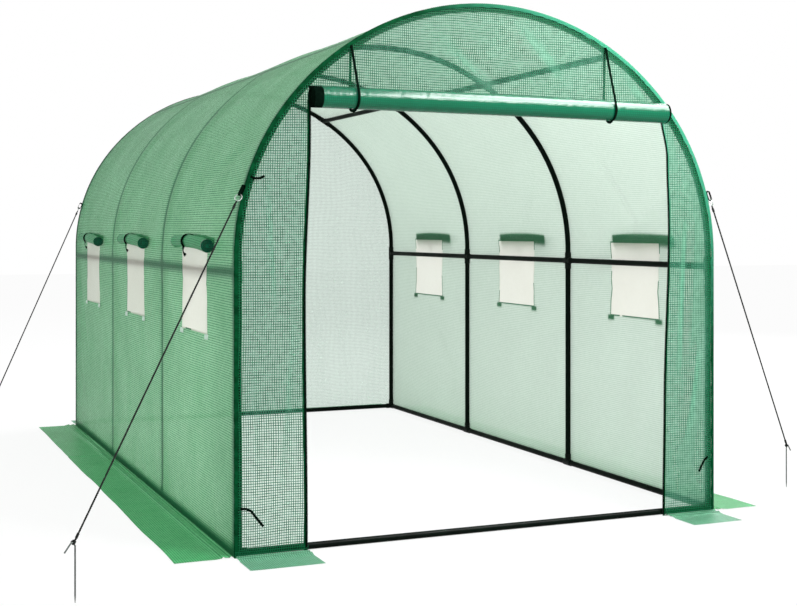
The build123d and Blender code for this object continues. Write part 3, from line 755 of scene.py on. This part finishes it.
def archBinding(name, face, outward, seed):
    stand, coverSide, panelSide = binding["stand"], binding["coverSide"], binding["panelSide"]
    # across the tape: distance back from the face, lift off the cover, share of the pucker
    profile = [(coverSide, stand, 1.0), (coverSide / 2, stand * 1.3, 0.4), (0.0, stand, 0.1),
               (-stand, 0.0, 0.1), (-stand * 1.3, -0.4 * panelSide, 0.4), (-stand, -panelSide, 1.0)]

    def tapePoint(along, back, lift):
        return coverPoint(face - outward * back, along, lift)[0]

    def shape(along, column):
        back, lift, loose = profile[column]
        place = drift(along / binding["puckerSize"], column * binding["puckerColumn"], seed)
        pucker = binding["pucker"] * loose * place
        uv = (along, column * binding["uvStep"])
        if lift < 0:
            return tapePoint(along, back - pucker, lift + binding["panelPull"] * pucker), uv
        return tapePoint(along, back + binding["coverPull"] * pucker, lift + pucker), uv

    made = makeSheet(name, spread([-halfArc, halfArc], binding["step"]), range(len(profile)), shape,
                     bindingTape)
    alongs = spread([stitch["endGap"] - halfArc, halfArc - stitch["endGap"]], stitch["pitch"])
    outs = [coverPoint(0, along)[1] for along in alongs]
    coverLine = coverSide * stitch["inShare"], stand * stitch["coverStand"]
    panelLine = -stand * stitch["panelStand"], -stitch["inShare"] * panelSide
    sewLine([tapePoint(along, *coverLine) for along in alongs], outs)
    sewLine([tapePoint(along, *panelLine) for along in alongs], [Vector((0, outward, 0))] * len(alongs))
    spans = []
    for along, out in zip(alongs, outs):
        length = stitch["fray"] * (stitch["frayMean"] + drift(along / stitch["fraySize"], 0, seed + 1))
        if length > stitch["frayLeast"] * stitch["fray"]:
            start, end = [tapePoint(along, back, stand) for back in (coverSide, coverSide + length)]
            spans.append((start, end, out))
    addBeads(frayPoints, frayFaces, spans, 2 * stitch["width"], stitch["height"])
    return made


frontBinding = archBinding("frontBinding", frontFace, -1, 91)
backBinding = archBinding("backBinding", backFace, 1, 95)

hem = {"height": 0.020, "rows": (0, 0.35, 0.7, 1), "foot": 2 * mm, "puckerRise": 0.03, "outPull": 0.7,
       "topPull": 1.5, "seamStand": 1.6, "seamShare": 0.8, "endGap": 0.02}


# Straight hem along the foot of a wall: the film turned up and sewn, so a second layer of it
def footHem(name, start, end, outward, seed, finish):
    run = (end - start).length
    ahead = (end - start) / run

    def shape(height, along):
        size = (2 * binding["puckerSize"], hem["puckerRise"])
        pucker = binding["pucker"] * drift(along, height, seed, size)
        spot = start + ahead * along + outward * (binding["stand"] + hem["outPull"] * abs(pucker))
        top = hem["height"] + hem["topPull"] * pucker
        return Vector((spot.x, spot.y, hem["foot"] + height * top)), (along, height * top)

    made = makeSheet(name, hem["rows"], spread([0, run], 2 * binding["step"]), shape, finish,
                     flip=True)
    lift = outward * binding["stand"] * hem["seamStand"] + Vector((0, 0, hem["height"] * hem["seamShare"]))
    sewn = spread([hem["endGap"], run - hem["endGap"]], stitch["pitch"])
    path = [start + ahead * along + lift for along in sewn]
    sewLine(path, [outward] * len(path))
    return made


wallFace = wallReach + filmHalf
for number, (name, start, end, outward, finish) in enumerate((
    ("hemLeft", (-wallFace, frontFace, 0), (-wallFace, backFace, 0), (-1, 0, 0), coverFilm),
    ("hemRight", (wallFace, backFace, 0), (wallFace, frontFace, 0), (1, 0, 0), coverFilm),
    ("hemBack", (-wallFace, backFace, 0), (wallFace, backFace, 0), (0, 1, 0), endFilm),
    ("hemFrontLeft", (doorLeft, frontFace, 0), (-wallFace, frontFace, 0), (0, -1, 0), endFilm),
    ("hemFrontRight", (wallFace, frontFace, 0), (doorRight, frontFace, 0), (0, -1, 0), endFilm),
)):
    footHem(name, Vector(start), Vector(end), Vector(outward), 101 + 2 * number, finish)
print("bindings and hems made")


# Doorway edges: green binding, then black zip tape with its row of teeth along the opening
jamb = {"bindingWidth": 0.011, "columns": 4, "pucker": 0.5 * mm, "puckerSize": 0.03, "stand": 1.2 * mm,
        "step": 0.02, "foot": 4 * mm, "zipWidth": 0.008, "zipLap": 2 * mm, "zipThickness": 0.8 * mm,
        "toothPitch": 4 * mm, "tooth": (1.8 * mm, 1.1 * mm, 1.0 * mm)}
boxCorners = [(sx, sy, sz) for sx in (-1, 1) for sy in (-1, 1) for sz in (-1, 1)]
boxFaces = ((0, 1, 3, 2), (4, 6, 7, 5), (0, 4, 5, 1), (2, 3, 7, 6), (0, 2, 6, 4), (1, 5, 7, 3))
zipPoints, zipFaces, toothPoints, toothFaces, jambBindings = [], [], [], [], []
jambHeights = spread([jamb["foot"], doorHead], jamb["step"])
for name, beside in (("jambBindingLeft", -1), ("jambBindingRight", 1)):
    def edgeLine(z, away, stand):
        share = z / doorHead if beside < 0 else 3 - z / doorHead
        return frontShape(share, 0)[0] + Vector((beside * away, -stand, 0))

    def shape(z, column):
        away = column * jamb["bindingWidth"] / (jamb["columns"] - 1)
        pucker = jamb["pucker"] * abs(drift(z / jamb["puckerSize"], column, 117))
        return edgeLine(z, away, jamb["stand"] + pucker), (z, away)

    jambBindings.append(makeSheet(name, jambHeights, range(jamb["columns"]), shape, bindingTape))
    path = [edgeLine(z, jamb["zipWidth"] / 2 - jamb["zipLap"], 2 * jamb["stand"]) for z in jambHeights]
    addTape(zipPoints, zipFaces, path, [Vector((0, -1, 0))] * len(path), jamb["zipWidth"],
            jamb["zipThickness"])
    for z in spread([2 * jamb["foot"], doorHead], jamb["toothPitch"]):
        spot, first = edgeLine(z, -jamb["zipLap"], 2 * jamb["stand"]), len(toothPoints)
        for corner in boxCorners:
            toothPoints.append(spot + Vector([way * half for way, half in zip(corner, jamb["tooth"])]))
        toothFaces += [tuple(first + c for c in face) for face in boxFaces]
zipTapes = makePiece("zipTapes", zipPoints, zipFaces, [blackTape])
zipTeeth = makePiece("zipTeeth", toothPoints, toothFaces, [fittingPlastic])
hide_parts("door_edge_tapes")
print("doorway edges made")


# What both kinds of wound flap share
wound = {"lapRows": 3, "seat": 0.8 * mm, "lumpShare": 0.5, "lumpTurn": 1.3, "raggedSize": 0.05,
         "endShare": 0.93}


# Wound-up flap: sewn flat to the film at its top edge, hanging to the roll and wound inward from the back.
# Its left end is telescoped: each turn further in sticks out more.
def windFlap(name, roll, place, seed, finishes):
    turns = (roll["outer"] - roll["core"]) / roll["pitch"]
    steps = int(turns * roll["perTurn"])
    lapRows = roll["lapRows"]
    rows = [(roll["lap"] * (1 - k / lapRows), None) for k in range(lapRows)]
    rows += [(0.0, 2 * math.pi * turns * k / steps) for k in range(steps + 1)]
    half = roll["length"] / 2
    columns = spread([-half, -half + roll["tapeLeft"], half - roll["tapeRight"], half], roll["step"])
    points, uvs, unrolled = [], [], 0.0
    for rise, angle in rows:
        inward = 0 if angle is None else angle / (2 * math.pi * turns)
        radius = roll["outer"] - (roll["outer"] - roll["core"]) * inward
        unrolled += roll["lap"] / lapRows if angle is None else radius * 2 * math.pi * turns / steps
        for run in columns:
            swell = 1 + roll["swell"] * drift(run / roll["swellSize"], 0, seed)
            out, up = 0.0, rise
            if angle is not None:
                size = (roll["swellSize"], roll["lumpTurn"])
                lump = 1 + roll["lumpShare"] * roll["swell"] * drift(run, angle, seed + 2, size)
                out = roll["outer"] * swell - radius * swell * lump * math.cos(angle)
                up = -radius * swell * lump * math.sin(angle)
            up += roll["tilt"] * run - roll["droop"] * (run / half) ** 2
            fromLeft = max(0, 1 - (run + half) / roll["recessReach"])
            shift = roll["recess"] * (1 - inward) * fromLeft
            if abs(run) > half - roll["ragged"]:
                shift += roll["ragged"] * drift(unrolled / roll["raggedSize"], run, seed + 4)
            points.append(place(run + shift, out + roll["seat"], up))
            uvs.append((run, unrolled))
    tips = []
    for r in range(len(rows) - 1):
        for c in range(len(columns) - 1):
            run = (columns[c] + columns[c + 1]) / 2
            tips.append(1 if run < -half + roll["tapeLeft"] or run > half - roll["tapeRight"] else 0)
    faces = gridFaces(len(rows), len(columns))
    for end in (-1, 1):  # the wound layers close both ends just inside the outer turn
        first = len(points)
        for k in range(roll["perTurn"]):
            angle = 2 * math.pi * k / roll["perTurn"]
            reach = roll["endShare"] * roll["outer"]
            spot = (roll["outer"] - reach * math.cos(angle) + roll["seat"], -reach * math.sin(angle))
            run = end * (half - roll["endDepth"])
            points.append(place(run, spot[0], spot[1] + roll["tilt"] * run - roll["droop"]))
            uvs.append(spot)
        faces.append(tuple(range(first, len(points)))[::end])
        tips.append(1)
    return makePiece(name, points, faces, finishes, uvs, tips), unrolled


# Door flap: long and tight, with black zip tape sewn along both its side edges
doorRoll = {**wound, "outer": 0.0412, "core": 0.016, "pitch": 0.0034, "perTurn": 28, "lap": 0.043,
            "step": 0.030, "swell": 0.03, "swellSize": 0.28, "droop": 0.003, "tilt": -0.0067,
            "recess": 0.010, "recessReach": 0.12, "ragged": 1.5 * mm, "tapeLeft": 0.036, "tapeRight": 0.008,
            "endDepth": 0.006, "beyond": 0.008}
rollLow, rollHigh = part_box("door_roll")
doorRoll["length"] = rollHigh.x - rollLow.x + doorRoll["beyond"]
rollMiddle = Vector((rollHigh.x - doorRoll["length"] / 2, frontFace,
                     rollLow.z + (rollHigh.y - rollLow.y) / 2))
doorFlap, doorFlapLength = windFlap(
    "doorRoll", doorRoll, lambda run, out, up: rollMiddle + Vector((run, -out, up)), 121,
    [doorRollFilm, blackTape])
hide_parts("door_roll")
print("door flap wound, length", round(doorFlapLength, 3))

# Windows: insect net inside, wound flap and tie outside, hook tape at the lower corners
windowRoll = {**wound, "outer": 0.0262, "core": 0.0060, "pitch": 0.0033, "perTurn": 22, "lap": 0.028,
              "step": 0.022, "swell": 0.06, "swellSize": 0.11, "droop": 0.008, "recess": 0.0,
              "recessReach": 0.1, "ragged": 2.5 * mm, "tapeLeft": 0.004, "tapeRight": 0.004,
              "endDepth": 0.003, "frontDip": 0.030, "dipDrift": 0.5, "dipStep": 1.7, "rightDipShare": 0.2,
              "short": 0.05}
netting = {"step": 0.03, "inside": 1.2 * mm, "wave": 1.5 * mm, "waveSize": (0.12, 0.2), "clear": 0.3 * mm}
tab = {"width": 0.052, "height": 0.020, "thickness": 1.2 * mm, "below": 0.014, "stand": 2.2 * mm}
tail = {"width": 0.030, "thickness": 1.0 * mm, "length": 0.036, "points": 10, "from": 15, "to": 225,
        "stand": 2.5 * mm, "shift": 0.05, "swing": 0.014, "swingTurn": 2.2, "lean": 0.012}
tabPoints, tabFaces, tailPoints, tailFaces = [], [], [], []
flapLow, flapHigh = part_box("left_window_rolls")
windowRoll["length"] = flapHigh.y - flapLow.y - (bayMiddles[-1] - bayMiddles[0]) - windowRoll["short"]
flapShift = (flapLow.y + flapHigh.y - windowRoll["short"]) / 2 - bayMiddles[1]
flapSeam = alongAt((flapLow.z + flapHigh.z) / 2)
for sideName, side in (("Left", -1), ("Right", 1)):
    nets, rolls = [], []
    for bay, middle in enumerate(bayMiddles):
        def netShape(along, y):
            lift = netting["wave"] * drift(y, along, 131 + bay, netting["waveSize"]) - netting["inside"]
            spot, _ = coverPoint(y + pinchedBy(y, side * along), side * along, min(lift, -netting["clear"]))
            return spot, (y, along)

        reach = window["width"] / 2 + window["lap"]
        alongs = spread([headAlong - window["lap"], sillAlong + window["lap"]], netting["step"])
        net = makeSheet(f"windowNet{sideName}{bay + 1}", alongs,
                        spread([middle - reach, middle + reach], netting["step"]), netShape, netVeil)
        nets.append(net)

        foot, out = coverPoint(middle + flapShift, side * flapSeam, filmHalf)
        climb = Vector((-out.z * side, 0, out.x * side))
        uneven = windowRoll["dipDrift"] * drift(bay * windowRoll["dipStep"], side, 139)
        dip = windowRoll["frontDip"] * (1 + uneven)
        if side > 0:
            dip *= windowRoll["rightDipShare"]
        flap, flapLength = windFlap(
            f"windowRoll{sideName}{bay + 1}", {**windowRoll, "tilt": dip},
            lambda run, away, up: foot + Vector((0, run, 0)) + out * away + climb * up,
            141 + 7 * bay + side, [windowRollFilm, doorRollFilm])
        rolls.append(flap)

        for end in (-1, 1):  # hook tape that holds the flap's corners down when the window is shut
            y = middle + end * window["width"] / 2
            path = [coverPoint(y + k * tab["width"] / 4, side * (sillAlong + tab["below"]), tab["stand"])[0]
                    for k in (-2, -1, 0, 1, 2)]
            addTape(tabPoints, tabFaces, path, [out] * len(path), tab["height"], tab["thickness"])
        path, normals = [], []  # tie: from the seam over the roll and down its front, with a loose end
        axis = foot + Vector((0, tail["shift"], 0)) + out * windowRoll["outer"]
        for k in range(tail["points"]):
            angle = math.radians(tail["from"] + (tail["to"] - tail["from"]) * k / (tail["points"] - 1))
            normals.append(climb * math.sin(angle) - out * math.cos(angle))
            path.append(axis + normals[-1] * (windowRoll["outer"] + tail["stand"]))
        for k in range(1, tail["points"]):
            share = k / (tail["points"] - 1)
            loose = Vector((0, tail["swing"] * math.sin(tail["swingTurn"] * share), -tail["length"] * share))
            path.append(path[tail["points"] - 1] + loose - out * tail["lean"] * share * share)
            normals.append(out)
        addTape(tailPoints, tailFaces, path, normals, tail["width"], tail["thickness"])
    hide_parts(f"{sideName.lower()}_window_nets")
    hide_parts(f"{sideName.lower()}_window_rolls")
windowTabs = makePiece("windowTabs", tabPoints, tabFaces, [hookTape])
print("windows made, flap length", round(flapLength, 3))

# Tie tapes sewn into the front binding, hanging loose on the panel: points as (x, z)
tie = {"width": 0.009, "thickness": 1.0 * mm, "stand": 4 * mm, "sway": 2 * mm}
tieRuns = [[(-0.985, 0.172), (-0.965, 0.171), (-0.946, 0.161), (-0.928, 0.136), (-0.902, 0.104)],
           [(-0.948, 1.337), (-0.934, 1.330), (-0.914, 1.331), (-0.898, 1.339)],
           [(0.975, 0.226), (0.956, 0.214), (0.944, 0.192), (0.930, 0.168)]]
for run in tieRuns:
    path = [Vector((x, frontFace - tie["stand"] - tie["sway"] * (k % 2), z)) for k, (x, z) in enumerate(run)]
    addTape(tailPoints, tailFaces, path, [Vector((0, -1, 0))] * len(path), tie["width"], tie["thickness"])
# Door straps: loops sewn into the arch binding, down in front of the roll, round it and up behind the panel,
# with a loose end that curls back under the roll; curl as (x, z) from the loop's foot
strap = {"places": (-0.572, 0.492), "width": 0.010, "thickness": 1.1 * mm, "stand": 1.5 * mm, "wrap": 150,
         "step": 8, "inside": 8 * mm, "below": 8 * mm, "above": 0.04, "topGap": 5 * mm, "curlOut": 0.010,
         "curl": [(0.000, 0.010), (-0.002, -0.001), (-0.009, -0.006), (-0.018, -0.004), (-0.024, 0.003)]}
rollReach = doorRoll["outer"] * (1 + doorRoll["swell"]) + strap["stand"]
rollAxis = Vector((0, frontFace - doorRoll["outer"] - doorRoll["seat"], rollMiddle.z))
for x in strap["places"]:
    top = Vector((x, frontFace - 2 * binding["stand"], archOver(x) - binding["panelSide"]))
    high = top - rollAxis
    reach = math.hypot(high.y, high.z)
    leave = math.asin(rollReach / reach) + math.atan2(high.y, high.z)  # where the strap meets the roll
    path, normals = [top], [Vector((0, -math.cos(leave), math.sin(leave)))]
    for angle in [leave - math.radians(k) for k in range(0, strap["wrap"], strap["step"])]:
        normals.append(Vector((0, -math.cos(angle), math.sin(angle))))
        path.append(Vector((x, rollAxis.y, rollAxis.z + doorRoll["tilt"] * x)) + normals[-1] * rollReach)
    for height in (doorHead - strap["below"], doorHead + strap["above"], top.z - strap["topGap"]):
        path.append(Vector((x, frontFace + strap["inside"], height)))
        normals.append(Vector((0, 1, 0)))
    addTape(tailPoints, tailFaces, path, normals, strap["width"], strap["thickness"])
    foot = Vector((x, rollAxis.y, rollAxis.z - rollReach + doorRoll["tilt"] * x))
    path = [foot + Vector((away, -strap["curlOut"], up)) for away, up in strap["curl"]]
    addTape(tailPoints, tailFaces, path, [Vector((0, -1, 0))] * len(path), strap["width"], strap["thickness"])
tieTapes = makePiece("tieTapes", tailPoints, tailFaces, [blackTape])
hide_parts("door_roll_straps", "left_window_straps", "right_window_straps")
seams = makePiece("seamStitches", stitchPoints, stitchFaces, [bindingTape])
frays = makePiece("threadEnds", frayPoints, frayFaces, [bindingTape])
print("ties and stitches made:", len(stitchFaces) // 4, "stitches")

# Guy ropes: three strands laid right-handed, whipped below the ring and above the peg, looped round the peg
rope = {"diameter": 7 * mm, "strands": 3, "strandsAcross": 4.3, "strandReach": 1.1, "lay": 0.022, "perLay": 8,
        "sides": 5, "whipsAcross": 5, "whipTurns": 6, "whipStart": 0.014, "neckShare": 0.45, "neckSides": 6,
        "neckRise": 14, "neckReach": 12, "loopTurns": 1.5, "perTurn": 16, "pegRadius": 2.5 * mm}


# Upper and lower end of the rope at one corner of the tunnel
def ropeEnds(sideX, sideY):
    spots = [v.co for v in frame["nodes"]["guy_ropes"].data.vertices]
    spots = [spot for spot in spots if spot.x * sideX > 0 and spot.y * sideY > 0]
    middle = sum(spot.z for spot in spots) / len(spots)
    groups = [[s for s in spots if s.z > middle], [s for s in spots if s.z <= middle]]
    return [sum(group, Vector()) / len(group) for group in groups]


# Points of a helix round an axis
def coil(start, axis, radius, turns, pitch):
    side = axis.orthogonal().normalized()
    other = axis.cross(side)
    path = []
    for k in range(int(turns * rope["perTurn"]) + 1):
        angle = 2 * math.pi * k / rope["perTurn"]
        path.append(start + axis * pitch * k / rope["perTurn"]
                    + (side * math.cos(angle) + other * math.sin(angle)) * radius)
    return path


strand, whip = rope["diameter"] / rope["strandsAcross"], rope["diameter"] / rope["whipsAcross"]
whipLength = rope["whipTurns"] * 2 * whip
thick = rope["diameter"] * rope["neckShare"]
corners = {"FrontLeft": (-1, -1), "FrontRight": (1, -1), "BackLeft": (-1, 1), "BackRight": (1, 1)}
for name, corner in corners.items():
    top, bottom = ropeEnds(*corner)
    run = bottom - top
    ahead = run.normalized()
    side = ahead.orthogonal().normalized()
    other = ahead.cross(side)
    points, faces = [], []
    count = int(run.length / rope["lay"] * rope["perLay"])
    for start in range(rope["strands"]):
        path = []
        for k in range(count + 1):
            angle = 2 * math.pi * (k / rope["perLay"] + start / rope["strands"])
            away = (side * math.cos(angle) + other * math.sin(angle)) * strand * rope["strandReach"]
            path.append(top + run * k / count + away)
        addRod(points, faces, path, strand, rope["sides"])
    for start in (top + ahead * rope["whipStart"], bottom - ahead * (rope["whipStart"] + whipLength)):
        path = coil(start, ahead, rope["diameter"] / 2, rope["whipTurns"], 2 * whip)
        addRod(points, faces, path, whip, rope["sides"])
    flat = Vector((ahead.x, ahead.y, 0)).normalized()
    neck = (flat * rope["neckReach"] + Vector((0, 0, rope["neckRise"]))).normalized()
    path = coil(bottom - neck * thick, neck, rope["pegRadius"] + thick, rope["loopTurns"], 2 * thick)
    addRod(points, faces, path, thick, rope["neckSides"])
    makePiece(f"guyRope{name}", points, faces, [cordFibre])
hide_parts("guy_ropes")
print("ropes made")

# Finishes of the solids that stay as they were packed
finishOf = {"frame_tube": tubeCoat, "fitting_plastic": fittingPlastic, "black_webbing": blackTape,
            "ring_plastic": ringPlastic, "peg_steel": pegWire, "mesh_film": coverFilm,
            "rolled_film": windowRollFilm, "insect_net": netVeil, "rope": cordFibre}
for subpart in frame["record"]["subparts"]:
    node = frame["nodes"][subpart["node"]]
    node.data.materials.clear()
    node.data.materials.append(finishOf[subpart["material_slot"]])
print("solids finished")

# Studio: white floor and surround for the eye, soft daylight from the right and behind, fill from the front,
# a gridded softbox on the gable, and a panel overhead that only shines on glossy surfaces
studio = {"floorSize": 60, "floorShade": 0.95, "whiteShare": 0.85, "skyLight": 0.85, "aim": (0, 0, 0.9)}
lamps = [
    {"name": "keyLamp", "place": (5.5, 3.5, 5.0), "size": (4.5, 4.5), "power": 380},
    {"name": "fillLamp", "place": (-2.6, -7.2, 4.2), "size": (4.0, 4.0), "power": 150},
    {"name": "gableLamp", "place": (1.4, -4.4, 3.6), "size": (1.5, 1.5), "power": 34,
     "aim": (0.4, -1.75, 1.6), "spread": 60},
    {"name": "glossLamp", "place": (2.3, -3.2, 4.3), "size": (2.9, 4.4), "power": 1200,
     "aim": (2.3, -3.2, 0), "glossOnly": True},
]
white = (1, 1, 1, 1)


def eyeRay(tree):  # 1 where the ray comes from the camera, a reflection or clear plastic
    path = addNode(tree, "ShaderNodeLightPath")
    seen = path.outputs["Is Camera Ray"]
    for name in ("Is Glossy Ray", "Is Transmission Ray"):
        either = {0: seen, 1: path.outputs[name]}
        seen = addNode(tree, "ShaderNodeMath", either, operation="MAXIMUM").outputs[0]
    return seen


floorMaterial, tree = newMaterial("studioFloor.matt")
matt = addNode(tree, "ShaderNodeBsdfDiffuse", {"Color": (studio["floorShade"],) * 3 + (1,)}).outputs[0]
bright = addNode(tree, "ShaderNodeEmission", {"Color": white, "Strength": 1}).outputs[0]
share = addNode(tree, "ShaderNodeMath", {0: eyeRay(tree), 1: studio["whiteShare"]}, operation="MULTIPLY")
lit = addNode(tree, "ShaderNodeMixShader", {0: share.outputs[0], 1: matt, 2: bright})
addNode(tree, "ShaderNodeOutputMaterial", {"Surface": lit.outputs[0]})
half = studio["floorSize"] / 2
floorMesh = bpy.data.meshes.new("studioFloor")
floorMesh.from_pydata([(sx * half, sy * half, -mm) for sx, sy in ((-1, -1), (1, -1), (1, 1), (-1, 1))], [],
                      [(0, 1, 2, 3)])
floorMesh.materials.append(floorMaterial)
floor = bpy.data.objects.new("studioFloor", floorMesh)
bpy.context.scene.collection.objects.link(floor)

world = bpy.data.worlds.new("studioSky")
bpy.context.scene.world = world
world.use_nodes = True
tree = world.node_tree
tree.nodes.clear()
soft, plain = [addNode(tree, "ShaderNodeBackground", {"Color": white, "Strength": strength}).outputs[0]
               for strength in (studio["skyLight"], 1)]
sky = addNode(tree, "ShaderNodeMixShader", {0: eyeRay(tree), 1: soft, 2: plain})
addNode(tree, "ShaderNodeOutputWorld", {"Surface": sky.outputs[0]})

for row in lamps:
    lamp = bpy.data.lights.new(row["name"], "AREA")
    lamp.shape = "RECTANGLE"
    lamp.size, lamp.size_y = row["size"]
    lamp.energy = row["power"]
    lamp.spread = math.radians(row.get("spread", 180))
    holder = bpy.data.objects.new(row["name"], lamp)
    holder.location = row["place"]
    holder.visible_diffuse = not row.get("glossOnly", False)
    aim = Vector(row.get("aim", studio["aim"])) - Vector(row["place"])
    holder.rotation_euler = aim.to_track_quat("-Z", "Y").to_euler()
    bpy.context.scene.collection.objects.link(holder)

# Camera: level, at eye height to the left of the doorway, its frame shifted down
view = {"place": (-2.2587, -6.3426, 1.147), "turn": 0.4088, "lens": 60.84, "shift": (-0.0360, -0.0911)}
lens = bpy.data.cameras.new("camera")
lens.sensor_width, lens.lens = 36, view["lens"]
lens.shift_x, lens.shift_y = view["shift"]
camera = bpy.data.objects.new("camera", lens)
camera.location = view["place"]
camera.rotation_euler = (math.pi / 2, 0, -view["turn"])
bpy.context.scene.collection.objects.link(camera)
bpy.context.scene.camera = camera
bpy.context.scene.view_settings.view_transform = "Standard"
print("studio ready")
